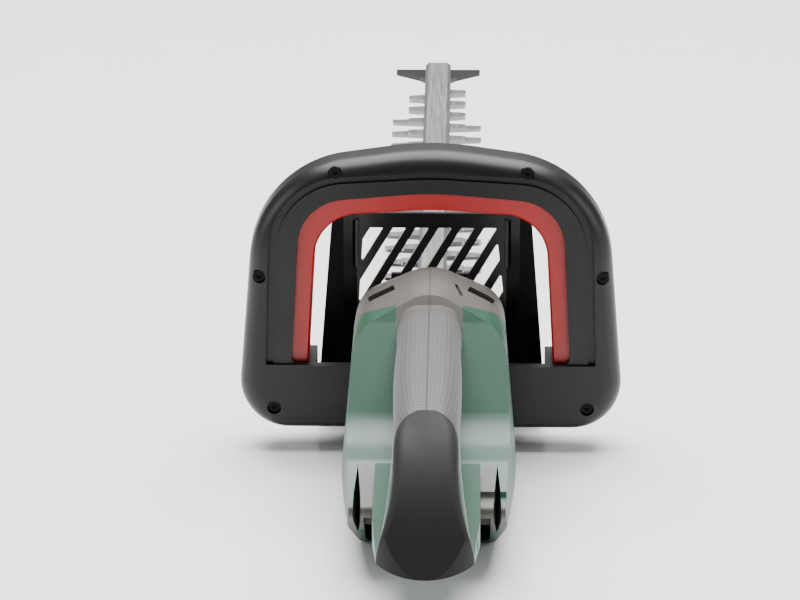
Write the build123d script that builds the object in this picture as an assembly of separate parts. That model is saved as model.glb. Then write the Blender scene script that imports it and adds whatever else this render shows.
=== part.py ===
from build123d import *
import math
import os

os.makedirs("parts", exist_ok=True)

# Cordless hedge trimmer with a loop front handle and a D-type rear handle.
# Millimetres. X points to the tool's right, Y forward along the blade, Z up.
# The tool is drawn with Y = 0 in the middle of the loop handle and Z = 0 on the
# surface it stands on. save() then moves it so that the origin is centred on its length.

# ---------------------------------------------------------------- driving sizes
REAR_Y = -333.0  # rearmost point, the heel of the rear handle

# Cutting gear
TOOTH_PITCH = 27.5
TEETH_PER_SIDE = 15
LEFT_TOOTH_Y = 82.7  # centre of the first left tooth, the right ones are half a pitch on
SPINE_HALF = 9.0  # half width of the blades' spines and of the beam
CUTTER_REACH = 20.0  # how far a cutting tooth reaches from the middle
COMB_REACH = 30.7  # how far a blunt finger reaches from the middle
SHORT_FINGERS_LEFT = 2  # fingers at the tip that are no longer than the cutting teeth
SHORT_FINGERS_RIGHT = 3
BLADE_THICK = 2.0
TIP_GUARD_LENGTH = 24.0
TIP_THICK = 3.4
SLIDE_GAP = 0.1  # between sliding blade faces
COMB_Z = 78.0  # underside of the comb
BEAM_HEIGHT = 6.0
CRANK_RADIUS = 8.0  # half of the cutter's stroke
CUTTER_REST = -3.5  # where the cutter rests, from mid stroke

# Gear train
MODULE = 1.0
PINION_TEETH = 12
GEAR_TEETH = 48
PRESSURE_ANGLE = math.radians(25)
ADDENDUM = 0.85
DEDENDUM = 1.15
BACKLASH = 0.14
GEAR_Y = -15.0
GEAR_Z = 65.0
GEAR_FACE = 7.0
AXLE_R = 4.0
RUNNING_FIT = 0.03  # radial clearance of a shaft in its bore
SHAFT_R = 2.5

# Motor
MOTOR_R = 22.0
MOTOR_Z = 8.0
MOTOR_LENGTH = 42.0
CAN_WALL = 1.5

# Fasteners
SCREW_R = 1.75
SCREW_HEAD_R = 3.6

# Housing
WALL = 3.0
HALF_WIDTH = 51.5  # widest half width of the body
FRONT_Y = 43.5
BAY_MOUTH_Y = -159.0  # bottom lip of the battery bay
NOTCH_X = 40.5  # the slots beside the bay
MEMBER_HALF = 30.0  # half width of the member below the finger gap
MEMBER_TOP = 59.0
GRIP_Y = -110.0
GRIP_END_Y = -262.0
GRIP_WIDTH = 38.0
GRIP_HEIGHT = 34.0
GRIP_Z = 106.5
GRIP_SKIN = 3.0
TONGUE_HALF = 19.5  # half width of the top cover where it meets the grip
HEEL_PLAN_R = 29.2  # rounding of the heel seen from above
HEEL_UNDER_R = 60.0  # rounding of the heel's underside

# Loop handle
LOOP_HALF_DEPTH = 18.0
LOOP_ROUND = 12.5
LOOP_WALL = 5.0
BAND_DEPTH = 2.0
GROOVE_WIDTH = 4.5
GROOVE_DEPTH = 3.8
LEVER_HALF_DEPTH = 12.0
LEVER_GAP = 0.5
LEVER_HIDDEN = 4.8  # how far the switch bar reaches into the loop
LEVER_TRAVEL = 4.0
LIP_Z = 57.0  # top of the loop's lower bars
LIP_RISE = 1.2
LIP_HALF = 69.5
LIP_THICK = 5.0
LIP_SLOPE = math.radians(20)

# Hand guard
GUARD_Y = 45.0
GUARD_THICK = 3.0
GUARD_TOP = 134.0
GUARD_TOP_HALF = 61.0
GUARD_BOTTOM_HALF = 71.5
SLOT_WIDTH = 7.1
SLOT_PITCH = 14.0
SLOT_SHIFT = 7.7  # sideways place of the row of slots
SLOT_LEAN = 59.5  # degrees from level
SLOT_CORNER = 0.6
SLOT_FREE_HALF = 25.0  # the middle below this height stays solid behind the blade
SLOT_FREE_TOP = 95.0

# Trigger
TRIGGER_PIVOT_Y = -126.0
TRIGGER_PIVOT_Z = 97.0
TRIGGER_HALF = 7.0

# ---------------------------------------------------------------- worked out sizes
BLADE_FRONT = LEFT_TOOTH_Y + TOOTH_PITCH * (TEETH_PER_SIDE - 0.5) + 15.0
TIP_ROOT_Y = BLADE_FRONT + 12.55
TIP_Y = TIP_ROOT_Y + TIP_GUARD_LENGTH  # foremost point, the tip guard's front edge
ROW_SHIFT = -(TIP_Y + REAR_Y) / 2
CUTTER_Z = COMB_Z + BLADE_THICK + SLIDE_GAP
BEAM_Z = CUTTER_Z + BLADE_THICK + SLIDE_GAP
CENTRES = MODULE * (PINION_TEETH + GEAR_TEETH) / 2
MOTOR_Y = GEAR_Y - CENTRES
CASE_FLOOR = GEAR_Z - 7.0
CASE_TOP = COMB_Z
MOTOR_TOP = MOTOR_Z + MOTOR_LENGTH


def save(name, *solids):
    """Writes one node, moved to the row's origin."""
    shape = solids[0] if len(solids) == 1 else Compound(children=list(solids))
    export_step(Pos(0, ROW_SHIFT, 0) * shape, f"parts/{name}.step")


def box(x0, x1, y0, y1, z0, z1):
    """A block from its two corners."""
    middle = ((x0 + x1) / 2, (y0 + y1) / 2, (z0 + z1) / 2)
    return Pos(*middle) * Box(x1 - x0, y1 - y0, z1 - z0)


def rod(x, y, z0, z1, radius):
    """An upright cylinder."""
    return Pos(x, y, (z0 + z1) / 2) * Cylinder(radius, z1 - z0)


def rounded(points, radii):
    """A flat face with one corner radius for each point."""
    wire = FilletPolyline(*points, radius=radii, close=True)
    return make_face(wire.edges())


def side_prism(face, half_width, centre=0.0):
    """A face drawn in Y and Z, made solid across X."""
    placed = Plane(origin=(centre, 0, 0), x_dir=(0, 1, 0), z_dir=(1, 0, 0)) * face
    return extrude(placed, half_width, both=True)


def front_prism(face, y0, y1):
    """A face drawn in X and Z, made solid from y0 to y1."""
    placed = Plane(origin=(0, y0, 0), x_dir=(1, 0, 0), z_dir=(0, -1, 0)) * face
    return extrude(placed, y0 - y1)


def plan_prism(face, z0, z1):
    """A face drawn in X and Y, made solid from z0 to z1."""
    return extrude(Pos(0, 0, z0) * face, z1 - z0)


def half(shape, side):
    """The left (-1) or right (+1) part of a shape."""
    reach = 1000.0
    low, high = (-reach, 0.0) if side < 0 else (0.0, reach)
    return shape & box(low, high, -reach, reach, -reach, reach)


def mirrored(points):
    """Right-hand points, bottom to top, followed by their mirror images."""
    left = [(-x, z) for x, z in reversed(points) if x > 0]
    return list(points) + left


# ---------------------------------------------------------------- cutting gear
def tooth_places():
    """Y of every tooth, with its side and its number from the tip."""
    places = []
    for number in range(TEETH_PER_SIDE):
        from_tip = TEETH_PER_SIDE - 1 - number
        places.append((LEFT_TOOTH_Y + TOOTH_PITCH * number, -1, from_tip))
        places.append((LEFT_TOOTH_Y + TOOTH_PITCH * (number + 0.5), 1, from_tip))
    return places


def tooth(y, side, reach, root_width, tip_width):
    """One flat tooth that narrows outwards, with a rounded tip."""
    root = SPINE_HALF - 1.0
    points = [(side * root, y - root_width / 2), (side * reach, y - tip_width / 2)]
    points += [(side * reach, y + tip_width / 2), (side * root, y + root_width / 2)]
    if side < 0:
        points.reverse()
    corner = [0, 2.0, 2.0, 0]
    return rounded(points, corner)


def bolt_places():
    """Y of every blade bolt: two on the gear case, the rest along the beam."""
    nose = [32.0, 58.0]
    along = [LEFT_TOOTH_Y + TOOTH_PITCH * (0.25 + 2.5 * k) + 14.0 for k in range(6)]
    return nose + along


BOLT_R = 2.5
HOLE_FIT = 0.1  # radial clearance of a screw or bolt in its hole
BOLT_HEAD_R = 4.5


def make_comb():
    """The fixed blade: blunt fingers that keep branches in and hands out."""
    plate = Pos(0, (22.0 + BLADE_FRONT + 8.0) / 2) * Rectangle(
        2 * SPINE_HALF, BLADE_FRONT + 8.0 - 22.0
    )
    for y, side, from_tip in tooth_places():
        short = SHORT_FINGERS_LEFT if side < 0 else SHORT_FINGERS_RIGHT
        reach = CUTTER_REACH if from_tip < short else COMB_REACH
        plate += tooth(y, side, reach, 13.0, 7.0)
    solid = plan_prism(plate, COMB_Z, COMB_Z + BLADE_THICK)
    for y in bolt_places():
        solid -= rod(0, y, COMB_Z - 1, COMB_Z + 3, BOLT_R + HOLE_FIT)
    return solid


def make_cutter():
    """The driven blade, with a slotted yoke at its rear and a slot for each bolt."""
    rear = GEAR_Y - 17.0
    front = BLADE_FRONT - CRANK_RADIUS
    plate = Pos(0, (rear + front) / 2) * Rectangle(2 * SPINE_HALF, front - rear)
    for y, side, _ in tooth_places():
        plate += tooth(y + CUTTER_REST, side, CUTTER_REACH, 12.0, 8.0)
    plate += Pos(0, GEAR_Y + CUTTER_REST) * RectangleRounded(38, 20, 4)
    plate -= Pos(0, GEAR_Y + CUTTER_REST) * RectangleRounded(28, 7.4, 3.6)
    solid = plan_prism(plate, CUTTER_Z, CUTTER_Z + BLADE_THICK)
    slot = plan_prism(
        RectangleRounded(2 * BOLT_R + 1.0, 2 * CRANK_RADIUS + 2 * BOLT_R + 2.0, 2.9), -1, 4
    )
    for y in bolt_places():
        solid -= Pos(0, y + CUTTER_REST, CUTTER_Z) * slot
    return solid


def make_beam():
    """The stiff bar over the blades, with two shallow grooves along its top."""
    low, high = 20.4, TIP_Y - 2.5
    body = box(-SPINE_HALF, SPINE_HALF, low, high, BEAM_Z, BEAM_Z + BEAM_HEIGHT)
    long_edges = body.edges().filter_by(Axis.Y).sort_by(Axis.Z)[-2:]
    body = chamfer(long_edges, 2.2)
    for x in (-3.2, 3.2):
        groove = box(x - 0.6, x + 0.6, low + 8, high - 28, BEAM_Z + BEAM_HEIGHT - 0.5, 120)
        body -= groove
    for y in bolt_places():
        body -= rod(0, y, BEAM_Z - 1, BEAM_Z + BEAM_HEIGHT - 1.6, BOLT_R + HOLE_FIT)
    body -= rod(0, TIP_SCREW_Y, BEAM_Z - 1, BEAM_Z + 4.0, TIP_SCREW_R + HOLE_FIT)
    return body


TIP_SCREW_Y = TIP_ROOT_Y + 11.0
TIP_SCREW_R = 1.6


def make_tip_guard():
    """A moulded wedge under the end of the beam, for resting the tip on a wall."""
    points = [(30.0, TIP_Y), (-30.0, TIP_Y), (-30.0, TIP_Y - 3.5)]
    points += [(-13.0, TIP_ROOT_Y + 6.0), (-SPINE_HALF, TIP_ROOT_Y), (SPINE_HALF, TIP_ROOT_Y)]
    points += [(13.0, TIP_ROOT_Y + 6.0), (30.0, TIP_Y - 3.5)]
    face = rounded(points, [1.5, 1.5, 1.5, 3.0, 0, 0, 3.0, 1.5])
    low = BEAM_Z - TIP_THICK
    body = plan_prism(face, low, BEAM_Z)
    body -= rod(0, TIP_SCREW_Y, low - 1, BEAM_Z + 1, TIP_SCREW_R + HOLE_FIT)
    body -= rod(0, TIP_SCREW_Y, low - 1, low + 1.4, 3.2)
    return body


def make_tip_screw():
    low = BEAM_Z - TIP_THICK
    screw = rod(0, TIP_SCREW_Y, low + 1.4, BEAM_Z + 4.0, TIP_SCREW_R)
    return screw + rod(0, TIP_SCREW_Y, low, low + 1.4, 3.0)


def make_blade_bolts():
    """Shoulder bolts from below that hold comb and beam and guide the cutter."""
    bolts = []
    for y in bolt_places()[2:]:
        shank = rod(0, y, COMB_Z, BEAM_Z + BEAM_HEIGHT - 1.6, BOLT_R)
        head = rod(0, y, COMB_Z - 2.6, COMB_Z, BOLT_HEAD_R)
        bolts.append(shank + head)
    return bolts


def make_case_bolts():
    """Two longer bolts that clamp the blades to the gear case."""
    bolts = []
    for y in bolt_places()[:2]:
        shank = rod(0, y, CASE_FLOOR, BEAM_Z + BEAM_HEIGHT - 1.6, BOLT_R)
        head = rod(0, y, CASE_FLOOR - 3.0, CASE_FLOOR, BOLT_HEAD_R)
        bolts.append(shank + head)
    return bolts


# ---------------------------------------------------------------- gear train
def involute_point(base, radius, offset):
    """The point at a radius on the flank whose start is turned by offset."""
    if radius <= base:
        return (radius * math.cos(offset), radius * math.sin(offset))
    roll = math.sqrt((radius / base) ** 2 - 1)
    angle = offset + roll - math.atan(roll)
    return (radius * math.cos(angle), radius * math.sin(angle))


def gear_face(teeth):
    """The outline of a spur gear, with one tooth centred on the X axis."""
    pitch = MODULE * teeth / 2
    base = pitch * math.cos(PRESSURE_ANGLE)
    tip = pitch + ADDENDUM * MODULE
    root = pitch - DEDENDUM * MODULE
    half_tooth = math.pi / (2 * teeth) - BACKLASH / (2 * pitch)
    involute = math.tan(PRESSURE_ANGLE) - PRESSURE_ANGLE
    start = -(half_tooth + involute)
    foot = max(base, root)
    radii = [foot, (foot + tip) / 2, tip]
    low = [involute_point(base, r, start) for r in radii]
    edges = []
    for number in range(teeth):
        turn = Rot(0, 0, 360 * number / teeth)
        step = Rot(0, 0, 360 * (number + 1) / teeth)
        flank = [turn * Pos(x, y) for x, y in low]
        back = [turn * Pos(x, -y) for x, y in reversed(low)]
        flank = [place.position for place in flank]
        back = [place.position for place in back]
        angle = math.atan2(-low[0][1], low[0][0])
        gap_start = (turn * Pos(root * math.cos(angle), root * math.sin(angle))).position
        gap_end = (step * Pos(root * math.cos(angle), -root * math.sin(angle))).position
        next_foot = (step * Pos(*low[0])).position
        edges.append(ThreePointArc(*flank))
        edges.append(Line(flank[-1], back[0]))
        edges.append(ThreePointArc(*back))
        if foot > root:
            edges.append(Line(back[-1], gap_start))
            edges.append(Line(gap_start, gap_end))
            edges.append(Line(gap_end, next_foot))
        else:
            edges.append(Line(back[-1], next_foot))
    return make_face(edges)


def make_drive_gear():
    """The big gear, with the crank disc and pin that drive the cutter on top."""
    face = Rot(0, 0, -90) * gear_face(GEAR_TEETH)
    body = plan_prism(Pos(0, GEAR_Y) * face, GEAR_Z, GEAR_Z + GEAR_FACE)
    for k in range(4):
        hole = Rot(0, 0, 45 + 90 * k) * Pos(15, 0) * Cylinder(3.5, 40)
        body -= Pos(0, GEAR_Y, GEAR_Z) * hole
    return body - rod(0, GEAR_Y, 0, 200, AXLE_R + RUNNING_FIT)


CRANK_PIN_R = 3.0
CRANK_TOP = CUTTER_Z - 0.5


def make_crank():
    """The crank disc and its pin, keyed to the gear."""
    disc_top = GEAR_Z + GEAR_FACE + 2.5
    body = rod(0, GEAR_Y, GEAR_Z + GEAR_FACE, disc_top, 12.0)
    across = math.sqrt(CRANK_RADIUS**2 - CUTTER_REST**2)
    body += rod(across, GEAR_Y + CUTTER_REST, disc_top, CRANK_TOP, CRANK_PIN_R)
    return body - rod(0, GEAR_Y, 0, 200, AXLE_R + RUNNING_FIT)


def make_gear_axle():
    low, high = CASE_FLOOR, GEAR_Z + GEAR_FACE + 4.0
    return rod(0, GEAR_Y, low, high, AXLE_R)


def make_pinion():
    face = Rot(0, 0, 90 + 180 / PINION_TEETH) * gear_face(PINION_TEETH)
    body = plan_prism(Pos(0, MOTOR_Y) * face, GEAR_Z, GEAR_Z + GEAR_FACE)
    return body - rod(0, MOTOR_Y, 0, 200, SHAFT_R)


def make_gear_case():
    """The cast lower case: motor seat at the rear, gear well, and blade nose in front."""
    plan = rounded(
        [(31, -69), (31, 20), (17, 40), (17, 68), (-17, 68), (-17, 40), (-31, 20), (-31, -69)],
        [10, 14, 8, 4, 4, 8, 14, 10],
    )
    body = plan_prism(plan, CASE_FLOOR, CASE_TOP)
    well = Pos(0, GEAR_Y) * Circle(27.0) + Pos(0, MOTOR_Y) * Circle(9.5)
    body -= plan_prism(well, CASE_FLOOR + 4.0, CASE_TOP + 1)
    body -= rod(0, GEAR_Y, 0, 200, AXLE_R)
    body -= rod(0, MOTOR_Y, 0, 200, SHAFT_R + 2.0)
    for y in bolt_places()[:2]:
        body -= rod(0, y, 0, 200, BOLT_R + HOLE_FIT)
    for x, y in case_screw_places():
        body -= rod(x, y, CASE_TOP - 9, CASE_TOP + 1, SCREW_R + HOLE_FIT)
    return body


def case_screw_places():
    return [(-25.0, -62.0), (25.0, -62.0), (-25.0, 13.0), (25.0, 13.0)]


CASE_COVER_TOP = 88.0


def make_case_cover():
    """The pressed lid over the crank, open in front for the cutter's tang."""
    plan = rounded([(31, -69), (31, 20), (-31, 20), (-31, -69)], [10, 6, 6, 10])
    body = plan_prism(plan, CASE_TOP, CASE_COVER_TOP)
    body -= box(-22, 22, -52, 14, CASE_TOP - 1, CUTTER_Z + BLADE_THICK + 3)
    body -= box(-SPINE_HALF - 0.6, SPINE_HALF + 0.6, 10, 30, CASE_TOP - 1, BEAM_Z + 0.4)
    for x, y in case_screw_places():
        body -= rod(x, y, CASE_TOP - 1, CASE_COVER_TOP + 1, SCREW_R + HOLE_FIT)
    return body


def make_case_screws():
    """Four pan head screws through the lid into the case."""
    screws = []
    for x, y in case_screw_places():
        shank = rod(x, y, CASE_TOP - 8, CASE_COVER_TOP, SCREW_R)
        head = rod(x, y, CASE_COVER_TOP, CASE_COVER_TOP + 2.2, 3.4)
        screws.append(shank + head - rod(x, y, CASE_COVER_TOP + 1, CASE_COVER_TOP + 3, 1.5))
    return screws


def make_felt_seal():
    """A felt pad that keeps dust out of the crank space, round the cutter's tang."""
    low, high = CUTTER_Z + BLADE_THICK + 0.2, CUTTER_Z + BLADE_THICK + 2.6
    return box(-SPINE_HALF, SPINE_HALF, 6.0, 9.6, low, high)


# ---------------------------------------------------------------- motor
def make_motor_can():
    """A drawn steel can, closed by its end cap at the bottom."""
    can = rod(0, MOTOR_Y, MOTOR_Z + 3, MOTOR_TOP, MOTOR_R)
    can -= rod(0, MOTOR_Y, MOTOR_Z, MOTOR_TOP - CAN_WALL, MOTOR_R - CAN_WALL)
    can -= rod(0, MOTOR_Y, 0, 200, BUSH_R)
    for k in range(6):
        vent = Rot(0, 0, 60 * k) * Pos(14, 0) * Cylinder(2.5, 8)
        can -= Pos(0, MOTOR_Y, MOTOR_TOP) * vent
    return can


BUSH_R = 5.0


def make_motor_end_cap():
    """The moulded cap that holds the brushes and the lower bush."""
    cap = rod(0, MOTOR_Y, MOTOR_Z, MOTOR_Z + 3, MOTOR_R)
    cap += rod(0, MOTOR_Y, MOTOR_Z + 3, MOTOR_Z + 6, MOTOR_R - CAN_WALL)
    return cap - rod(0, MOTOR_Y, 0, 200, BUSH_R)


def make_bush(z0, z1):
    """A sintered bush for the motor shaft."""
    return rod(0, MOTOR_Y, z0, z1, BUSH_R) - rod(0, MOTOR_Y, 0, 200, SHAFT_R + RUNNING_FIT)


def make_magnets():
    """Two curved magnets inside the can."""
    ring = rod(0, MOTOR_Y, MOTOR_Z + 9, MOTOR_TOP - 5, MOTOR_R - CAN_WALL)
    ring -= rod(0, MOTOR_Y, 0, 200, MOTOR_R - CAN_WALL - 4.5)
    ring -= box(-8, 8, MOTOR_Y - 30, MOTOR_Y + 30, 0, 200)
    return list(ring.solids())


def make_armature():
    """The slotted rotor core, its windings and commutator, on the shaft."""
    core = rod(0, MOTOR_Y, MOTOR_Z + 11, MOTOR_TOP - 7, MOTOR_R - CAN_WALL - 5.2)
    for k in range(5):
        slot = Pos(0, MOTOR_Y, MOTOR_Z) * Rot(0, 0, 72 * k) * Pos(15, 0) * Box(7, 2.2, 200)
        core -= slot
    core += rod(0, MOTOR_Y, MOTOR_Z + 7, MOTOR_Z + 11, 5.5)
    return core - rod(0, MOTOR_Y, 0, 200, SHAFT_R)


def make_motor_shaft():
    return rod(0, MOTOR_Y, MOTOR_Z + 0.5, GEAR_Z + GEAR_FACE + 1.5, SHAFT_R)


def make_fan():
    """A radial fan between the motor and the gear case."""
    low = MOTOR_TOP + 1.5
    hub = rod(0, MOTOR_Y, low, low + 5, 6.0) + rod(0, MOTOR_Y, low, low + 1.2, 20.0)
    for k in range(9):
        blade = Pos(0, MOTOR_Y, low + 2.5) * Rot(0, 0, 40 * k) * Pos(12.5, 0) * Box(14, 1.2, 5)
        hub += blade
    return hub - rod(0, MOTOR_Y, 0, 200, SHAFT_R)


# ---------------------------------------------------------------- body shells
# Cross sections of the body: Y, half widths at the foot, at the waist and at the
# shoulder, then the shoulder's and the ridge's heights.
BODY_STATIONS = [
    (FRONT_Y, 42.0, 46.0, 39.0, 82.0, 100.0),
    (0.0, 44.0, 49.5, 42.0, 98.0, 116.0),
    (-42.0, 44.0, 50.5, 43.5, 109.0, 129.0),
    (-100.0, 43.0, HALF_WIDTH, 44.0, 110.0, 129.0),
    (-165.0, 38.0, 49.0, 43.5, 109.0, 127.0),
    (-236.0, 34.5, 45.0, 42.0, 107.0, 123.0),
]
WAIST_Z = 26.0
FOOT_TRIM = 0.5  # planed off the underside, so that it is truly flat


def body_section(station, inset):
    """One closed cross section, drawn inwards by inset."""
    y, foot, waist, shoulder, shoulder_z, ridge_z = station
    right = [(foot - inset, inset - FOOT_TRIM), (waist - inset, WAIST_Z)]
    right += [(shoulder - inset, shoulder_z - inset * 0.8), (0.0, ridge_z - inset)]
    left = [(-x, z) for x, z in reversed(right[:3])]
    face = rounded(right + left, [8.0, 30.0, 20.0, 30.0, 20.0, 30.0, 8.0])
    return Plane(origin=(0, y, 0), x_dir=(1, 0, 0), z_dir=(0, -1, 0)) * face


def body_loft(inset):
    """The body's outer form, or the same form drawn inwards."""
    return loft([body_section(station, inset) for station in BODY_STATIONS])


def body_side():
    """Side view of the motor housing and the battery bay, without the rear handle."""
    points = [(FRONT_Y + 2, 4), (FRONT_Y + 2, 140), (-78, 140), (-100, 114), (-150, 62)]
    points += [(-182, MEMBER_TOP), (-222, 42), (BAY_MOUTH_Y, 0), (-60, 0)]
    return rounded(points, [0, 0, 0, 14.0, 40.0, 20.0, 4.0, 0, 0])


def body_cavity_side():
    """Side view of the space for the motor and gears."""
    points = [(FRONT_Y - WALL, 8), (FRONT_Y - WALL, 140), (-74, 140), (-84, 112)]
    points += [(-92, 104), (-92, WALL), (-60, WALL)]
    return rounded(points, [0, 0, 0, 4, 2, 0, 0])


def bay_side():
    """Side view of the battery bay's space."""
    points = [(-96, WALL), (-96, 38), (-240, 38), (-240, -10), (-150, -10), (-150, WALL)]
    return rounded(points, [0, 0, 0, 0, 0, 0])


def board_side():
    """Side view of the space for the control board, above the bay."""
    points = [(-96, 41.5), (-96, 56), (-196, 56), (-196, 41.5)]
    return rounded(points, [0, 0, 0, 0])


MEMBER_END_Y = REAR_Y + 9.0
HEEL_Z = 49.2
HEEL_LEAN = math.radians(13.5)


def make_heel_cut():
    """What is trimmed off the heel so that it ends round from above and from below."""
    rear = box(-60, 60, REAR_Y - 20, GRIP_END_Y, 0, 120)
    lean_y, lean_z = math.sin(HEEL_LEAN), math.cos(HEEL_LEAN)
    place = Plane(
        origin=(0, REAR_Y + HEEL_UNDER_R * lean_y, HEEL_Z + HEEL_UNDER_R * lean_z),
        x_dir=(1, 0, 0),
        z_dir=(0, -lean_z, lean_y),
    )
    under = place * Cylinder(HEEL_UNDER_R, 400)
    middle_y = REAR_Y + HEEL_PLAN_R
    round_end = rod(0, middle_y, -10, 130, HEEL_PLAN_R)
    round_end += box(-60, 60, middle_y, GRIP_END_Y + 1, -10, 130)
    return rear - (under & round_end)


def make_member():
    """The flat member that joins the bay's roof to the heel of the rear handle."""
    plan = rounded(
        [(MEMBER_HALF, -140), (MEMBER_HALF, -262), (26.5, MEMBER_END_Y + 4), (0, MEMBER_END_Y),
         (-26.5, MEMBER_END_Y + 4), (-MEMBER_HALF, -262), (-MEMBER_HALF, -140)],
        [0, 40, 5, 60, 5, 40, 0],
    )
    side = rounded(
        [(-140, 41), (-140, MEMBER_TOP), (-282, MEMBER_TOP - 2), (-336, 56), (-336, HEEL_Z),
         (-300, 43), (-215, 38)],
        [0, 0, 0, 2, 0, 30, 10],
    )
    return plan_prism(plan, 0, 100) & side_prism(side, 60)


# Cross sections of the rear handle, along its middle line: Y, Z, the turn of the
# section from upright in degrees, its width and its height.
HANDLE_STATIONS = [
    (-84.0, 103.0, 0.0, 40.0, 36.0),
    (GRIP_Y, 106.8, 0.0, GRIP_WIDTH, GRIP_HEIGHT),
    (-186.0, 107.0, 0.0, GRIP_WIDTH + 0.6, GRIP_HEIGHT),
    (-246.0, 102.5, 8.0, GRIP_WIDTH - 1.0, GRIP_HEIGHT),
    (-279.0, 88.5, 33.0, 39.0, 34.0),
    (-298.0, 68.0, 58.0, 46.0, 34.0),
    (-306.5, 48.0, 76.0, 53.0, 34.0),
]


def handle_section(station, inset, corner=14.0):
    y, z, turn, width, height = station
    lean = math.radians(turn)
    place = Plane(
        origin=(0, y, z), x_dir=(1, 0, 0), z_dir=(0, -math.cos(lean), -math.sin(lean))
    )
    return place * RectangleRounded(width - 2 * inset, height - 2 * inset, corner - inset)


def handle_loft(inset):
    return loft([handle_section(station, inset) for station in HANDLE_STATIONS])


# Cross sections of the soft saddle: Y and Z on its outer face, turn, width, corner radius.
SADDLE_STATIONS = [
    (-257.5, 119.0, 12.0, 20.0, 7.0),
    (-267.0, 117.7, 20.0, 30.5, 7.0),
    (-292.0, 105.5, 40.0, 36.0, 6.5),
    (-318.0, 78.0, 57.0, 43.5, 4.5),
    (REAR_Y, 49.0, 68.0, 56.0, 2.0),
]
SADDLE_THICK = 16.0


def make_saddle_solid():
    """The soft saddle behind the grip, flaring towards the heel."""
    sections = []
    for y, z, turn, width, corner in SADDLE_STATIONS:
        lean = math.radians(turn)
        inward = (0, math.sin(lean), -math.cos(lean))
        drop = SADDLE_THICK / 2
        place = Plane(
            origin=(0, y + inward[1] * drop, z + inward[2] * drop),
            x_dir=(1, 0, 0),
            z_dir=(0, -math.cos(lean), -math.sin(lean)),
        )
        sections.append(place * RectangleRounded(width, SADDLE_THICK, corner))
    return loft(sections) - make_heel_cut()


# ---------------------------------------------------------------- covers and openings of the body
def make_cover_region():
    """What belongs to the top cover: above its parting line, with a tongue to the grip."""
    points = [(FRONT_Y + 5, 76), (-20, 86), (-44, 95), (-66, 105), (-79, 112), (-91, 122)]
    points += [(-91, 150), (FRONT_Y + 5, 150)]
    region = side_prism(rounded(points, [0, 20, 10, 10, 6, 0, 0, 0]), 80)
    return region + box(-TONGUE_HALF, TONGUE_HALF, GRIP_Y, -80, 104.6, 150)


def make_vents():
    """Two wide air slots and one short slit through the top cover."""
    wide = Box(17.0, 12.0, 14.0)
    left = Pos(-27.5, -58, 114.5) * Rot(0, -28, 0) * Rot(0, 0, 8) * wide
    right = Pos(29.0, -58, 114.0) * Rot(0, 28, 0) * Rot(0, 0, -10) * wide
    slit = Pos(16.0, -68, 121.0) * Rot(0, 26, 0) * Rot(0, 0, 12) * Box(2.6, 17.0, 14.0)
    return [left, right, slit]


def make_trim_region(side):
    """The grey trim beside the bay: an arch on its roof and a band along its rear edge."""
    arch = [(MEMBER_HALF, -250), (MEMBER_HALF, -194), (34, -179), (38.5, -188), (NOTCH_X, -204)]
    arch += [(NOTCH_X, -250)]
    arch = [(side * x, y) for x, y in arch]
    if side < 0:
        arch.reverse()
    radii = [0, 0, 2.5, 4.0, 0, 0] if side > 0 else [0, 0, 4.0, 2.5, 0, 0]
    band = [(-260, 4), (-152, 4), (-168, 16), (-206, 41), (-214, 50), (-260, 50)]
    low, high = sorted((side * NOTCH_X, side * 80))
    edge = side_prism(rounded(band, [0, 0, 6.0, 4.0, 0, 0]), 80) & box(low, high, -260, -140, 4, 60)
    return plan_prism(rounded(arch, radii), 20, 90) + edge


def make_notch(side):
    """The slot beside the bay's roof, where a battery's side button is reached."""
    points = [(NOTCH_X - 0.8, -184), (NOTCH_X + 1.2, -206), (NOTCH_X + 2.2, -245)]
    points += [(NOTCH_X - 4.2, -245), (NOTCH_X - 2.6, -206)]
    points = [(side * x, y) for x, y in points]
    if side > 0:
        points.reverse()
    return plan_prism(rounded(points, [0] * 5), 14, 70)


# ---------------------------------------------------------------- trigger
def trigger_side(grow=0.0):
    """Side view of the trigger, or of its pocket when grown."""
    points = [(-119, 102), (-119, 93), (-132, 88), (-146, 83.5), (-196, 83.5)]
    points += [(-210, 89.5), (-210, 98), (-150, 100)]
    face = rounded(points, [4.0, 4.0, 8.0, 8.0, 8.0, 4.0, 3.0, 10.0])
    return offset(face, grow) if grow else face


PIN_R = 2.0
PIN_HALF = 9.8


def make_trigger():
    body = side_prism(trigger_side(), TRIGGER_HALF)
    return body - along_x(TRIGGER_PIVOT_Y, TRIGGER_PIVOT_Z, -20, 20, PIN_R + RUNNING_FIT)


def along_x(y, z, x0, x1, radius):
    """A cylinder across the tool."""
    return Pos((x0 + x1) / 2, y, z) * Rot(0, 90, 0) * Cylinder(radius, x1 - x0)


def make_trigger_pocket():
    """Room for the trigger through its whole travel, with the rear switch above it."""
    points = [(-116, 106), (-116, 78), (-214, 78), (-214, 109), (-198, 111), (-140, 108)]
    room = side_prism(rounded(points, [3.0, 0, 0, 3.0, 3.0, 3.0]), TRIGGER_HALF + 0.5)
    room += box(-SWITCH_HALF, SWITCH_HALF, *REAR_SWITCH_Y, 104, REAR_SWITCH_TOP)
    return room


SWITCH_HALF = 5.0
REAR_SWITCH_Y = (-196.0, -172.0)
REAR_SWITCH_Z = 106.6
REAR_SWITCH_TOP = 117.0
SPRING_WIRE = 0.45


def coil(height, radius, turns):
    """A wound wire spring standing on Z."""
    path = Helix(pitch=height / turns, height=height, radius=radius)
    profile = Plane(origin=path @ 0, z_dir=path % 0) * Circle(SPRING_WIRE)
    return sweep(profile, path=path)


TORSION_X = 8.4
TORSION_LENGTH = 3.6


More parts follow.
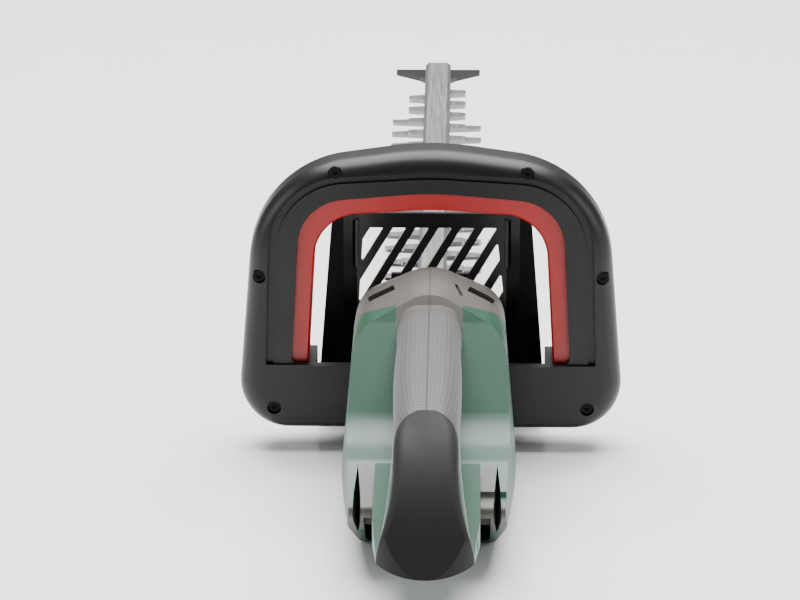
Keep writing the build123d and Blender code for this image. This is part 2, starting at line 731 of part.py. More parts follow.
def make_trigger_spring():
    """A torsion spring round the trigger's pin, in a pocket beside the trigger."""
    wound = coil(TORSION_LENGTH - 1.0, 3.2, 3)
    return Pos(TORSION_X + 0.5, TRIGGER_PIVOT_Y, TRIGGER_PIVOT_Z) * Rot(0, 90, 0) * wound


def make_spring_pocket():
    low, high = TORSION_X - 1, TORSION_X + TORSION_LENGTH
    return along_x(TRIGGER_PIVOT_Y, TRIGGER_PIVOT_Z, low, high, 4.4)


def make_trigger_pin():
    return along_x(TRIGGER_PIVOT_Y, TRIGGER_PIVOT_Z, -PIN_HALF, PIN_HALF, PIN_R)


def make_rear_switch():
    """The microswitch over the trigger, with its button pointing down."""
    front, back = REAR_SWITCH_Y[1], REAR_SWITCH_Y[0]
    case = box(-SWITCH_HALF, SWITCH_HALF, back, front, REAR_SWITCH_Z, REAR_SWITCH_TOP)
    button = box(-1.5, 1.5, -183, -179, REAR_SWITCH_Z - 0.8, REAR_SWITCH_Z)
    return case + button


# ---------------------------------------------------------------- body pieces
BODY_SCREWS = [(27.0, 20.0), (-82.0, 17.0), (-82.0, 99.0), (-208.0, 49.0), (-284.0, 50.0)]
SCREW_HEAD_X = 12.0
SCREW_END_X = -16.0


def make_ribs():
    """Ribs inside the shells that cradle the motor and the gear case."""
    ribs = []
    for z in (16.0, 38.0):
        plate = box(-60, 60, MOTOR_Y - 14, MOTOR_Y + 14, z, z + WALL)
        ribs.append(plate - rod(0, MOTOR_Y, 0, 200, MOTOR_R))
    for y in (-58.0, -8.0):
        for side in (-1, 1):
            low, high = sorted((side * 31.0, side * 60.0))
            ribs.append(box(low, high, y, y + WALL, CASE_FLOOR + 2, CASE_TOP - 2))
    return ribs


def make_body_blank():
    """Everything the two green shells are cut from, with its hollows."""
    outer = body_loft(0.0) & side_prism(body_side(), 80)
    room = body_loft(WALL)
    cavity = room & side_prism(body_cavity_side(), 80)
    for rib in make_ribs():
        cavity -= rib
    for y, z in BODY_SCREWS[:3]:
        cavity -= along_x(y, z, -60, 60, SCREW_R + 3.5)
    bay = room & side_prism(bay_side(), 36.0)
    board = side_prism(board_side(), 26.0)
    grip_span = box(-60, 60, GRIP_END_Y, GRIP_Y, 0, 200)
    handle = (handle_loft(0.0) - grip_span) + (handle_loft(GRIP_SKIN) & grip_span)
    shell = outer + make_member() + handle
    shell -= cavity
    shell -= bay
    shell -= board
    return shell


def make_nose_opening():
    """The way out of the body for the gear case's nose and the blades."""
    nose = box(-17.4, 17.4, 30, 60, CASE_FLOOR - 4, CASE_TOP + 0.2)
    top = BEAM_Z + BEAM_HEIGHT + 1
    return nose + box(-SPINE_HALF - 1, SPINE_HALF + 1, 30, 60, CASE_TOP - 1, top)


def cut_body(shell):
    """Cuts for the nose, saddle, trigger, notches and screws."""
    shell -= make_nose_opening()
    shell -= make_saddle_solid()
    shell -= make_heel_cut()
    shell -= make_trigger_pocket()
    shell -= along_x(TRIGGER_PIVOT_Y, TRIGGER_PIVOT_Z, -PIN_HALF, PIN_HALF, PIN_R)
    shell -= make_spring_pocket()
    for side in (-1, 1):
        shell -= make_notch(side)
    for y, z in BODY_SCREWS:
        shell -= along_x(y, z, SCREW_END_X, SCREW_HEAD_X + 1, SCREW_R + HOLE_FIT)
        shell -= along_x(y, z, SCREW_HEAD_X, 80, SCREW_HEAD_R + 0.4)
    return shell


def make_body_screws():
    screws = []
    for y, z in BODY_SCREWS:
        head = along_x(y, z, SCREW_HEAD_X, SCREW_HEAD_X + 2.4, SCREW_HEAD_R)
        shank = along_x(y, z, SCREW_END_X + 1, SCREW_HEAD_X, SCREW_R)
        socket = along_x(y, z, SCREW_HEAD_X + 1, SCREW_HEAD_X + 3, 1.7)
        screws.append(head + shank - socket)
    return screws


def make_grip():
    """The soft skin round the handle's bar, moulded to its shape."""
    span = box(-60, 60, GRIP_END_Y, GRIP_Y, 0, 200)
    skin = (handle_loft(0.0) & span) - (handle_loft(GRIP_SKIN) & span)
    skin -= body_loft(0.0) & side_prism(body_side(), 80)
    skin -= make_saddle_solid()
    skin -= make_trigger_pocket()
    return skin - make_spring_pocket()


# ---------------------------------------------------------------- battery bay fittings
def make_rails():
    """Two rails that a battery's grooves slide on."""
    rails = []
    for side in (-1, 1):
        low, high = sorted((side * 30.0, side * 36.0))
        rails.append(box(low, high, -196, -100, 26, 30))
    return rails


def make_terminal_block():
    """The moulded block at the end of the bay, with five slots for the contacts."""
    block = box(-24, 24, -106, -96, 10, 34)
    for k in range(5):
        x = 8.0 * (k - 2)
        block -= box(x - 0.5, x + 0.5, -200, -90, 16, 28)
    return block


def make_terminals():
    """Five blade contacts that stand out of the block."""
    return [box(x - 0.5, x + 0.5, -118, -97, 16, 28) for x in (-16.0, -8.0, 0.0, 8.0, 16.0)]


def make_board():
    """The control board over the bay, with its power parts."""
    board = box(-24, 24, -186, -104, 43.5, 45.1)
    for x in (-14.0, 0.0, 14.0):
        board += box(x - 5, x + 5, -130, -115, 45.1, 49.5)
    board += rod(-10, -150, 45.1, 54.5, 6.0) + rod(8, -150, 45.1, 54.5, 6.0)
    return board + box(-20, 20, -180, -172, 45.1, 51)


def make_motor_leads():
    """Two insulated leads from the motor's brushes to the wall of the board's space."""
    leads = []
    for x in (-7.0, 7.0):
        path = FilletPolyline((x, -67.6, 28), (x, -77, 28), (x, -77, 50), (x, -91.5, 50), radius=4)
        profile = Plane(origin=path @ 0, z_dir=path % 0) * Circle(1.3)
        leads.append(sweep(profile, path=path))
    return leads


# ---------------------------------------------------------------- loop handle
LOOP_OUTLINE = mirrored([(118.2, 13.6), (105.0, 177.2), (0.0, 192.2)])
LOOP_RADII = [30.0, 67.5, 175.0, 67.5, 30.0]


def loop_outer():
    return rounded(LOOP_OUTLINE, LOOP_RADII)


def loop_band(inset=0.0):
    """Outline of the sunk band round the switch bar, or the same drawn inwards."""
    points = mirrored([(99.8 - inset, LIP_Z), (96.6 - inset, 173.6 - inset), (0.0, 179.4 - inset)])
    return rounded(points, [1.0, 47.0 - inset, 200.0, 47.0 - inset, 1.0])


def loop_opening():
    """Outline of the hand opening in the shells."""
    points = mirrored([(84.4, LIP_Z), (79.0, 159.2), (0.0, 166.2)])
    return rounded(points, [4.0, 30.0, 200.0, 30.0, 4.0])


def lever_outer():
    """The switch bar's outline, LEVER_HIDDEN mm inside the loop."""
    reach = LEVER_HIDDEN
    points = mirrored([(84.4 + reach, LIP_Z + LEVER_GAP), (79.0 + reach, 159.2 + reach),
                       (0.0, 166.2 + reach)])
    return rounded(points, [2.0, 35.0, 200.0, 35.0, 2.0])


def lever_inner():
    points = mirrored([(74.9, 40.0), (68.6, 149.6), (0.0, 154.2)])
    return rounded(points, [0, 27.5, 200.0, 27.5, 0])


def make_lip():
    """The raised rim along the foot of the hand opening."""
    points = mirrored([(LIP_HALF + 5.0, LIP_Z - 4.5), (LIP_HALF + 5.0, LIP_Z)])
    outline = rounded(points, [4.0, 0, 0, 4.0])
    return front_prism(outline, -LOOP_HALF_DEPTH - LIP_RISE, -LOOP_HALF_DEPTH + 1)


def make_lip_slope():
    """What falls away in front of the lip, so that the lower bars slope down forwards."""
    front = LOOP_HALF_DEPTH + 1
    back = -LOOP_HALF_DEPTH + LIP_THICK
    drop = (front - back) * math.tan(LIP_SLOPE)
    points = [(back, LIP_Z + 1), (back, LIP_Z), (front, LIP_Z - drop), (front, LIP_Z + 1)]
    return side_prism(rounded(points, [0] * 4), LIP_HALF)


LOOP_SCREWS = [(57.5, 178.6), (103.6, 113.0), (95.0, 29.2)]
FOOT_SCREW_Y = 9.0
FOOT_SCREW_Z = 33.0
FRONT_SPRING_X = 30.0
FRONT_SPRING_Z = (172.5, 182.0)
FRONT_SWITCH_Z = 176.0


def loop_screw_places():
    return [(side * x, z) for side in (-1, 1) for x, z in LOOP_SCREWS]


def across_y(x, z, y0, y1, radius):
    """A cylinder along the tool."""
    return Pos(x, (y0 + y1) / 2, z) * Rot(90, 0, 0) * Cylinder(radius, y1 - y0)


def make_loop_blank():
    """The loop as one rounded ring, hollow and open towards the hand."""
    depth = LOOP_HALF_DEPTH
    ring = front_prism(loop_outer(), -depth, depth)
    rims = ring.faces().sort_by(Axis.Y)
    ring = fillet(rims[0].edges() + rims[-1].edges(), LOOP_ROUND)
    ring -= front_prism(loop_opening(), -depth - 1, depth + 1)
    for y in (-depth, depth - BAND_DEPTH):
        ring -= front_prism(loop_band(), y, y + BAND_DEPTH)
    groove = loop_band() - loop_band(GROOVE_WIDTH)
    for y in (-depth, depth - GROOVE_DEPTH):
        ring -= front_prism(groove, y, y + GROOVE_DEPTH)
    ring += make_lip()
    ring -= make_lip_slope()
    inner = offset(loop_outer(), -LOOP_WALL)
    room_half = LEVER_HALF_DEPTH + LEVER_GAP
    room = front_prism(inner, -room_half, room_half)
    room -= box(-88, 88, -20, 20, LIP_Z - 16, LIP_Z)
    for x, z in loop_screw_places():
        room -= across_y(x, z, -room_half, room_half, 5.0)
    for side in (-1, 1):
        low, high = sorted((side * 44.0, side * 64.0))
        room -= box(low, high, -room_half, room_half, FOOT_SCREW_Z - 6, FOOT_SCREW_Z + 6)
        x = side * FRONT_SPRING_X
        room -= box(x - 5, x + 5, -room_half, room_half, FRONT_SPRING_Z[1], 190)
    room -= box(-12, 12, -room_half, room_half, FRONT_SWITCH_Z + 9, 190)
    ring -= room
    ring -= body_loft(0.0) & side_prism(body_side(), 80)
    ring -= box(-44, 44, -30, 30, 0, 100)
    for side in (-1, 1):
        for y in (-FOOT_SCREW_Y, FOOT_SCREW_Y):
            low, high = sorted((side * 40.0, side * 62.0))
            ring -= along_x(y, FOOT_SCREW_Z, low, high, SCREW_R + HOLE_FIT)
    return ring


def make_loop_shells():
    """The rear and front shells, with the holes for the screws that join them."""
    ring = make_loop_blank()
    far = 300.0
    for x, z in loop_screw_places():
        ring -= across_y(x, z, -40, -LOOP_HALF_DEPTH + 4.5, 4.2)
        ring -= across_y(x, z, -LOOP_HALF_DEPTH + 4.5, 11.0, SCREW_R + HOLE_FIT)
    rear = ring & box(-far, far, -far, 0, -far, far)
    front = ring & box(-far, far, 0, far, -far, far)
    return rear, front


def make_loop_screws():
    """Six screws with a six-lobed socket, sunk in the rear shell."""
    screws = []
    seat = -LOOP_HALF_DEPTH + 4.5
    for x, z in loop_screw_places():
        head = across_y(x, z, seat - 2.2, seat, 3.6)
        shank = across_y(x, z, seat, 10.0, SCREW_R)
        socket = across_y(x, z, seat - 3, seat - 0.8, 1.1)
        for k in range(6):
            lobe_x = x + 1.2 * math.cos(math.radians(60 * k))
            lobe_z = z + 1.2 * math.sin(math.radians(60 * k))
            socket += across_y(lobe_x, lobe_z, seat - 3, seat - 0.8, 0.45)
        screws.append(head + shank - socket)
    return screws


def make_foot_screws():
    """Four screws from inside the body into the feet of the loop."""
    screws = []
    for side in (-1, 1):
        for y in (-FOOT_SCREW_Y, FOOT_SCREW_Y):
            low, high = sorted((side * FOOT_HEAD_X, side * 61.0))
            shank = along_x(y, FOOT_SCREW_Z, low, high, SCREW_R)
            low, high = sorted((side * (FOOT_HEAD_X - 2.2), side * FOOT_HEAD_X))
            screws.append(shank + along_x(y, FOOT_SCREW_Z, low, high, SCREW_HEAD_R))
    return screws


FOOT_HEAD_X = 44.8


def make_switch_bar():
    """The U-shaped bar inside the loop, squeezed to switch on."""
    half_depth = LEVER_HALF_DEPTH
    bar = front_prism(lever_outer(), -half_depth, half_depth)
    rims = front_prism(lever_inner(), -half_depth - 1, half_depth + 1)
    bar -= rims
    inner = bar.edges().group_by(Axis.Y)
    bar = chamfer(inner_rim(inner[0]) + inner_rim(inner[-1]), 1.2)
    for side in (-1, 1):
        x = side * FRONT_SPRING_X
        bar += box(x - 5, x + 5, -5, 5, 165, FRONT_SPRING_Z[0])
    return bar


def inner_rim(edges):
    """Of a U's edges, those along its inner side."""
    return [edge for edge in edges if abs(edge.center().X) < 76.5 and edge.center().Z < 156
            and edge.center().Z > LIP_Z + 2]


def make_switch_springs():
    """Two coil springs that push the switch bar back towards the hand."""
    low, high = FRONT_SPRING_Z
    margin = SPRING_WIRE + 0.05
    wound = coil(high - low - 2 * margin, 3.2, 5)
    return [Pos(side * FRONT_SPRING_X, 0, low + margin) * wound for side in (-1, 1)]


def make_front_switch():
    """The microswitch over the switch bar, with its button pointing down."""
    case = box(-11, 11, -5, 5, FRONT_SWITCH_Z, FRONT_SWITCH_Z + 9)
    return case + box(-2, 2, -1.5, 1.5, FRONT_SWITCH_Z - 0.6, FRONT_SWITCH_Z)


# ---------------------------------------------------------------- hand guard
GUARD_FOLD_X = 46.0
GUARD_EDGE_X = 54.0


def guard_outline():
    points = [(GUARD_BOTTOM_HALF, 0), (GUARD_TOP_HALF, GUARD_TOP), (-GUARD_TOP_HALF, GUARD_TOP)]
    points += [(-GUARD_BOTTOM_HALF, 0)]
    return rounded(points, [12.0, 6.0, 6.0, 12.0])


def guard_plan():
    """Top view of the guard: a flat middle and two sides swept back."""
    back = [(0, 0), (GUARD_FOLD_X, 0), (GUARD_EDGE_X, -7.5), (80, -14.5)]
    rear = GUARD_Y - GUARD_THICK / 2
    line = [(x, rear + y) for x, y in back]
    right = line + [(x, y + GUARD_THICK) for x, y in reversed(line)]
    face = make_face(Polyline(*right, close=True))
    return face + mirror(face, about=Plane.YZ)


def make_slots():
    """Leaning slots across the guard, with a plain border and the blade's way left solid."""
    corners = [(45, 74), (39.5, 124.6), (-42, 124.6), (-45, 74)]
    field = front_prism(rounded(corners, [0, 0, 0, 0]), 30, 60)
    field -= box(-SLOT_FREE_HALF, SLOT_FREE_HALF, 20, 70, 50, SLOT_FREE_TOP)
    slots = []
    for k in range(-6, 7):
        bar = Pos(SLOT_PITCH * k + SLOT_SHIFT, 100) * Rot(0, 0, SLOT_LEAN) * Rectangle(120, SLOT_WIDTH)
        cut = field & front_prism(bar, 30, 60)
        slots += [solid for solid in cut.solids() if solid.volume > 600] if cut else []
    return [fillet(slot.edges().filter_by(Axis.Y), SLOT_CORNER) for slot in slots]


def make_guard():
    """The moulded hand guard: slotted plate, swept sides and ribs at the folds."""
    plate = plan_prism(guard_plan(), 0, GUARD_TOP) & front_prism(guard_outline(), 0, 80)
    for slot in make_slots():
        plate -= slot
    nose = Pos(0, 73.5) * RectangleRounded(40, 37, 3)
    plate -= front_prism(nose, 30, 60)
    for side in (-1, 1):
        rib = box(side * GUARD_FOLD_X - 1, side * GUARD_FOLD_X + 1, GUARD_Y - 4, GUARD_Y, 100, 130)
        plate += rib
    for x, z in guard_screw_places():
        plate -= across_y(x, z, 30, 60, SCREW_R + HOLE_FIT)
    return plate


def guard_screw_places():
    return [(side * 32.0, z) for side in (-1, 1) for z in (18.0, 66.0)]


GUARD_FRONT = GUARD_Y + GUARD_THICK / 2


def make_guard_screws():
    screws = []
    for x, z in guard_screw_places():
        shank = across_y(x, z, 32.0, GUARD_FRONT, SCREW_R)
        head = across_y(x, z, GUARD_FRONT, GUARD_FRONT + 2.2, 3.6)
        screws.append(shank + head - across_y(x, z, GUARD_FRONT + 1, GUARD_FRONT + 3, 1.5))
    return screws


# ---------------------------------------------------------------- build
def build_body():
    blank = make_body_blank()
    cover_room = make_cover_region()
    cover = blank & cover_room
    shell = cut_body(blank - cover_room)
    for place in guard_screw_places():
        shell -= across_y(*place, 30, 60, SCREW_R + HOLE_FIT)
    for side in (-1, 1):
        for y in (-FOOT_SCREW_Y, FOOT_SCREW_Y):
            low, high = sorted((side * 40.0, side * 62.0))
            shell -= along_x(y, FOOT_SCREW_Z, low, high, SCREW_R + HOLE_FIT)
    cover -= make_nose_opening()
    for vent in make_vents():
        cover -= vent
    grip = make_grip()
    for side, name in ((-1, "left"), (1, "right")):
        region = make_trim_region(side)
        piece = half(shell, side)
        save(f"bay_trim_{name}", piece & region)
        save(f"housing_{name}", piece - region)
        save(f"top_cover_{name}", half(cover, side))
        save(f"grip_{name}", half(grip, side))
    save("rear_saddle", make_saddle_solid())


def build_loop():
    rear, front = make_loop_shells()
    save("loop_shell_rear", rear)
    save("loop_shell_front", front)
    save("loop_screws", *make_loop_screws())
    save("loop_foot_screws", *make_foot_screws())
    save("switch_bar", make_switch_bar())
    save("switch_bar_springs", *make_switch_springs())
    save("front_microswitch", make_front_switch())


def build_cutting_gear():
    save("comb_blade", make_comb())
    save("cutter_blade", make_cutter())
    save("blade_beam", make_beam())
    save("blade_bolts", *make_blade_bolts())
    save("case_bolts", *make_case_bolts())
    save("tip_guard", make_tip_guard())
    save("tip_screw", make_tip_screw())


def build_drive():
    save("drive_gear", make_drive_gear())
    save("crank_disc", make_crank())
    save("gear_axle", make_gear_axle())
    save("pinion", make_pinion())
    save("gear_case", make_gear_case())
    save("gear_case_cover", make_case_cover())
    save("gear_case_screws", *make_case_screws())
    save("felt_seal", make_felt_seal())
    save("motor_can", make_motor_can())
    save("motor_end_cap", make_motor_end_cap())
    save("motor_magnets", *make_magnets())
    save("motor_bush_lower", make_bush(MOTOR_Z, MOTOR_Z + 6))
    save("motor_bush_upper", make_bush(MOTOR_TOP - 4, MOTOR_TOP))
    save("armature", make_armature())
    save("motor_shaft", make_motor_shaft())
    save("cooling_fan", make_fan())


def build_fittings():
    save("trigger", make_trigger())
    save("trigger_pin", make_trigger_pin())
    save("trigger_spring", make_trigger_spring())
    save("rear_microswitch", make_rear_switch())
    save("housing_screws", *make_body_screws())
    save("battery_rails", *make_rails())
    save("terminal_block", make_terminal_block())
    save("terminal_blades", *make_terminals())
    save("control_board", make_board())
    save("motor_leads", *make_motor_leads())
    save("hand_guard", make_guard())
    save("guard_screws", *make_guard_screws())


build_body()
build_loop()
build_cutting_gear()
build_drive()
build_fittings()
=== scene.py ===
# %% [markdown]
# # A cordless hedge trimmer, finished and lit
# The shape of this tool was built as a CAD assembly, with every part in its real place and size.
# This lesson takes that assembly as a fixed frame and gives it what CAD leaves out: the surfaces.
# Each finish is made from nodes, in a maker's order: housing, handles, skins, metal, insides.

# %% Load the frame
import math

import bpy
from mathutils import Matrix, Vector


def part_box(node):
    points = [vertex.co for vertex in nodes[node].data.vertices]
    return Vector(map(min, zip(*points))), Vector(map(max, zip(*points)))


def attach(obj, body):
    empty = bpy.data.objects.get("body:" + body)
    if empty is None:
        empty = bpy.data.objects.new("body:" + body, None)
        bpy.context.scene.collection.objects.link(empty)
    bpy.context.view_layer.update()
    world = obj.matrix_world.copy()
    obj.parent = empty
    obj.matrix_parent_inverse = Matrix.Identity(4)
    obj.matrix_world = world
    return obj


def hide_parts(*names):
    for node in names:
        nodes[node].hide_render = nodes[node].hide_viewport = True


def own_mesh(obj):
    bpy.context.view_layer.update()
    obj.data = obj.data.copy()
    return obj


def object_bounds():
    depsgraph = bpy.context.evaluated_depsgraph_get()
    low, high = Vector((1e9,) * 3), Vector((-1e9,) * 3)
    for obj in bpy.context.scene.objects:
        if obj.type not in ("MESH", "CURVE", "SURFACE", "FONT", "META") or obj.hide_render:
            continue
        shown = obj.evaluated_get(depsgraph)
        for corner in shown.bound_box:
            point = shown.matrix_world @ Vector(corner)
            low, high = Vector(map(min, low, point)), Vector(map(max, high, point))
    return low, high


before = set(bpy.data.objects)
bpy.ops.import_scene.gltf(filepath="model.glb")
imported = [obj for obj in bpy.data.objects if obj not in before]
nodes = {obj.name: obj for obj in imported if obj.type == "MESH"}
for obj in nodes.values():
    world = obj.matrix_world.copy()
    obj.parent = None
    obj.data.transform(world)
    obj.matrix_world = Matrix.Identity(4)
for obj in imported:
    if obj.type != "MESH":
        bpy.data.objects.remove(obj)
cad_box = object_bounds()
print("loaded", len(nodes), "parts, box", [[round(v, 3) for v in corner] for corner in cad_box])

# %% [markdown]
# ## Two helpers
# Designers write colours as sRGB hex values, and shaders work in linear light, so one function
# turns one into the other. A second one adds a node: its settings, its plain values and its
# links, all in one call. That keeps each material short enough to read as a recipe.

# %% Colour and node helpers
MM = 0.001


def linear(hex_colour):
    """An sRGB hex colour as linear red, green, blue and an alpha of 1."""
    parts = [int(hex_colour[i:i + 2], 16) / 255 for i in (1, 3, 5)]
    return [p / 12.92 if p <= 0.04045 else ((p + 0.055) / 1.055) ** 2.4 for p in parts] + [1.0]


def add(tree, kind, inputs=None, **settings):
    """Adds a node. Settings are its properties; inputs are sockets, as values or as links."""
    node = tree.nodes.new(kind)
    for name, value in settings.items():
        setattr(node, name, value)
    for socket, value in (inputs or {}).items():
        if isinstance(value, bpy.types.NodeSocket):
            tree.links.new(value, node.inputs[socket])
        else:
            node.inputs[socket].default_value = value
    return node


print("mid grey #808080 in linear light:", [round(c, 3) for c in linear("#808080")])

# %% [markdown]
# ## One recipe for moulded surfaces
# Nearly every visible part here is injection moulded. Such a surface is never one flat colour:
# the pigment swirls a little as it flows, the mould's spark-eroded grain breaks up the gloss, and
# hands and dust dull it in patches. So each plastic is two close colours mixed by a slow noise, a
# roughness that drifts, and a fine grain in the bump. Real grain is 0.1 to 0.2 mm, too fine to
# show in a whole-tool view, so it is drawn at about 0.7 mm.

# %% Moulded plastic
FLOW_MM = 45.0
GRAIN_MM = 0.7
GRAIN_STRENGTH = 0.35
NOISE_LOW, NOISE_HIGH = 0.3, 0.7
GLOSSY_PATCH, DULL_PATCH = 0.9, 1.12


def colour_of(node):
    """The one colour output, or the two colour inputs, of a mix node in colour mode."""
    return ([s for s in node.outputs if s.type == "RGBA"][0],
            [s for s in node.inputs if s.type == "RGBA"])


def two_tone(tree, factor, first, second):
    """Mixes two hex colours, or a linked colour and a hex colour, by a factor."""
    node = add(tree, "ShaderNodeMix", data_type="RGBA")
    tree.links.new(factor, node.inputs["Factor"])
    out, (a, b) = colour_of(node)
    if isinstance(first, str):
        a.default_value = linear(first)
    else:
        tree.links.new(first, a)
    b.default_value = linear(second)
    return out


def plastic(name, dark, light, rough, grain=0.02, grain_mm=GRAIN_MM, ior=1.5, marks=None,
            **shader):
    """A moulded polymer: flow marks in the colour, patches in the gloss, grain in the bump."""
    material = bpy.data.materials.new(name)
    material.use_nodes = True
    tree = material.node_tree
    skin = tree.nodes["Principled BSDF"]
    place = add(tree, "ShaderNodeTexCoord").outputs["Object"]
    flow = add(tree, "ShaderNodeTexNoise",
               {"Vector": place, "Scale": 1000 / FLOW_MM, "Detail": 4.0, "Distortion": 0.6})
    colour = two_tone(tree, flow.outputs["Fac"], dark, light)
    gloss = add(tree, "ShaderNodeMapRange", {"Value": flow.outputs["Fac"], "From Min": NOISE_LOW,
                                             "From Max": NOISE_HIGH,
                                             "To Min": rough * GLOSSY_PATCH,
                                             "To Max": min(1.0, rough * DULL_PATCH)})
    pores = add(tree, "ShaderNodeTexNoise",
                {"Vector": place, "Scale": 1000 / grain_mm, "Detail": 2.0})
    bump = add(tree, "ShaderNodeBump", {"Height": pores.outputs["Fac"], "Strength": GRAIN_STRENGTH,
                                        "Distance": grain * MM})
    for mask, tint, depth in (marks(tree, place) if marks else ()):
        colour = two_tone(tree, mask, colour, tint)
        bump = add(tree, "ShaderNodeBump", {"Height": mask, "Normal": bump.outputs["Normal"],
                                            "Strength": 1.0, "Distance": depth * MM},
                   invert=True)
    tree.links.new(colour, skin.inputs["Base Color"])
    tree.links.new(gloss.outputs["Result"], skin.inputs["Roughness"])
    tree.links.new(bump.outputs["Normal"], skin.inputs["Normal"])
    skin.inputs["IOR"].default_value = ior
    for socket, value in shader.items():
        skin.inputs[socket.replace("_", " ")].default_value = value
    return material


def dress(material, *names):
    """Gives a CAD part its finish, in every material slot that its mesh has."""
    for name in names:
        slots = nodes[name].data.materials
        for i in range(len(slots)):
            slots[i] = material
        if not slots:
            slots.append(material)
    print(material.name, "on", ", ".join(names))


# %% [markdown]
# ## The housing
# The clamshell is ABS in a deep bottle green, moulded satin. ABS has an IOR of 1.53, and a satin
# mould leaves a roughness near 0.35, so it takes broad, milky reflections from a soft box.

# %% Seam between two moulded halves
SEAM_MM, SEAM_CORE, SEAM_DEPTH_MM = 0.5, 0.4, 0.25


def seam(tree, place, tint):
    """The hairline where the left and right halves meet, in the plane x = 0."""
    across = add(tree, "ShaderNodeSeparateXYZ", {"Vector": place}).outputs["X"]
    off = add(tree, "ShaderNodeMath", {0: across}, operation="ABSOLUTE").outputs["Value"]
    line = add(tree, "ShaderNodeMapRange", {"Value": off, "From Min": SEAM_MM * SEAM_CORE * MM,
                                            "From Max": SEAM_MM * MM, "To Min": 1.0,
                                            "To Max": 0.0})
    return [(line.outputs["Result"], tint, SEAM_DEPTH_MM)]


# %% Green ABS
abs_green = plastic("ABS_bottle_green_satin", "#1a4635", "#20503d", 0.4, ior=1.53,
                    marks=lambda tree, place: seam(tree, place, "#10281f"))
dress(abs_green, "housing_left", "housing_right")

# %% [markdown]
# The top cover and the cheeks in the battery bay are glass-filled polyamide in warm grey. The
# glass fibres reach the surface, which makes it drier than ABS, with a slightly coarser grain.

# %% Warm grey polyamide
polyamide_grey = plastic("polyamide_warm_grey_grained", "#4c4946", "#575350", 0.45, grain=0.03,
                         marks=lambda tree, place: seam(tree, place, "#4a4744"))
dress(polyamide_grey, "top_cover_left", "top_cover_right", "bay_trim_left", "bay_trim_right")

# %% [markdown]
# ## The front handle, the guard and the switch bar
# The loop is black polyamide with a fine spark-eroded grain. The hand guard is smooth and
# glossier, and the switch bar is red ABS, polished in the mould so that it is seen at once.

# %% Black polyamide and red ABS
polyamide_black = plastic("polyamide_black_spark_eroded", "#0a0a0b", "#0f0f10", 0.36, grain=0.03,
                          Specular_IOR_Level=0.35)
dress(polyamide_black, "loop_shell_front", "loop_shell_rear")

guard_black = plastic("polyamide_black_smooth", "#060607", "#0a0a0b", 0.3, grain=0.01)
dress(guard_black, "hand_guard", "tip_guard")

abs_red = plastic("ABS_signal_red_polished", "#b3090d", "#c20d10", 0.34, grain=0.01, ior=1.53)
dress(abs_red, "switch_bar")

trigger_black = plastic("polyamide_black_fine_grain", "#0e0e0f", "#141415", 0.45)
dress(trigger_black, "trigger")

# %% [markdown]
# ## Soft skins
# The grip and the saddle are thermoplastic elastomers, moulded over the housing. A soft skin is
# dull and a little velvety at grazing angles, which the sheen gives. The grip has rows of small
# raised dots. They could be modelled one by one, but some thousands of them would weigh more than
# the rest of the tool. Two crossed sine waves, wrapped round the bar, give the same staggered
# rows, and the hollows between the dots are painted a darker grey as painted shade. Their spacing
# is about 2 mm on such a grip and is drawn at 2.7 mm, so that it shows from across a table.

# %% Black elastomer
saddle_black = plastic("elastomer_black_matt", "#0d0d0e", "#121213", 0.7, grain=0.04,
                       Sheen_Weight=0.03, Sheen_Roughness=0.5, Specular_IOR_Level=0.3)
dress(saddle_black, "rear_saddle")


# %% Dotted grey elastomer
DOT_PITCH_MM, DOT_HEIGHT_MM = 2.7, 0.3
GRIP_ROUND_MM = 18.0
GRIP_AXIS_SHARE = 0.375  # how far below its top the bar's middle lies, as a share of its height
# the last value is how far the hollows between the dots are darkened, as painted shade
HOLLOW_EDGE, HOLLOW_FLOOR, HOLLOW_PAINTED_SHADE = -0.1, -0.55, 0.75
grip_low, grip_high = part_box("grip_left")
grip_axis_z = grip_high.z - GRIP_AXIS_SHARE * (grip_high.z - grip_low.z)


def dots_and_seam(tree, place):
    """Staggered rows of small dots round the bar, with painted shade in the hollows between them,
    and the seam of the two skins.
    """
    axes = add(tree, "ShaderNodeSeparateXYZ", {"Vector": place}).outputs
    rise = add(tree, "ShaderNodeMath", {0: axes["Z"], 1: grip_axis_z}, operation="SUBTRACT")
    turn = add(tree, "ShaderNodeMath", {0: axes["X"], 1: rise.outputs["Value"]},
               operation="ARCTAN2")
    waves = []
    for sign in (1, -1):
        round_bar = add(tree, "ShaderNodeMath", {0: turn.outputs["Value"],
                        1: math.pi * GRIP_ROUND_MM / DOT_PITCH_MM}, operation="MULTIPLY")
        phase = add(tree, "ShaderNodeMath",
                    {0: axes["Y"], 1: sign * math.pi / (DOT_PITCH_MM * MM),
                     2: round_bar.outputs["Value"]}, operation="MULTIPLY_ADD")
        waves.append(add(tree, "ShaderNodeMath", {0: phase.outputs["Value"]},
                         operation="SINE").outputs["Value"])
    lattice = add(tree, "ShaderNodeMath", {0: waves[0], 1: waves[1]}, operation="MULTIPLY")
    # painted shade: the hollows between the dots are pressed in by the bump and mixed towards
    # darker grey #3c3c3c
    hollow = add(tree, "ShaderNodeMapRange", {"Value": lattice.outputs["Value"],
                 "From Min": HOLLOW_EDGE, "From Max": HOLLOW_FLOOR,
                 "To Min": 0.0, "To Max": HOLLOW_PAINTED_SHADE})
    return [(hollow.outputs["Result"], "#3c3c3c", DOT_HEIGHT_MM)] + seam(tree, place, "#333333")


grip_grey = plastic("elastomer_mid_grey_dotted", "#474747", "#505050", 0.55, grain=0.04,
                    marks=dots_and_seam, Sheen_Weight=0.1, Sheen_Roughness=0.5)
dress(grip_grey, "grip_left", "grip_right")

# %% [markdown]
# ## Metals
# A metal has no colour of its own besides its reflection, so a Principled metal takes its
# reflectance as the base colour. What tells one metal from another is how it was worked: laser
# cut and ground steel has fine scratches along the blade, an extrusion has long soft die lines,
# and a die casting is dull and slightly pitted. One noise, stretched along the way the metal was
# worked, makes them all. Real scratches are far finer than a millimetre, so they are drawn at
# about 1.2 mm to show.

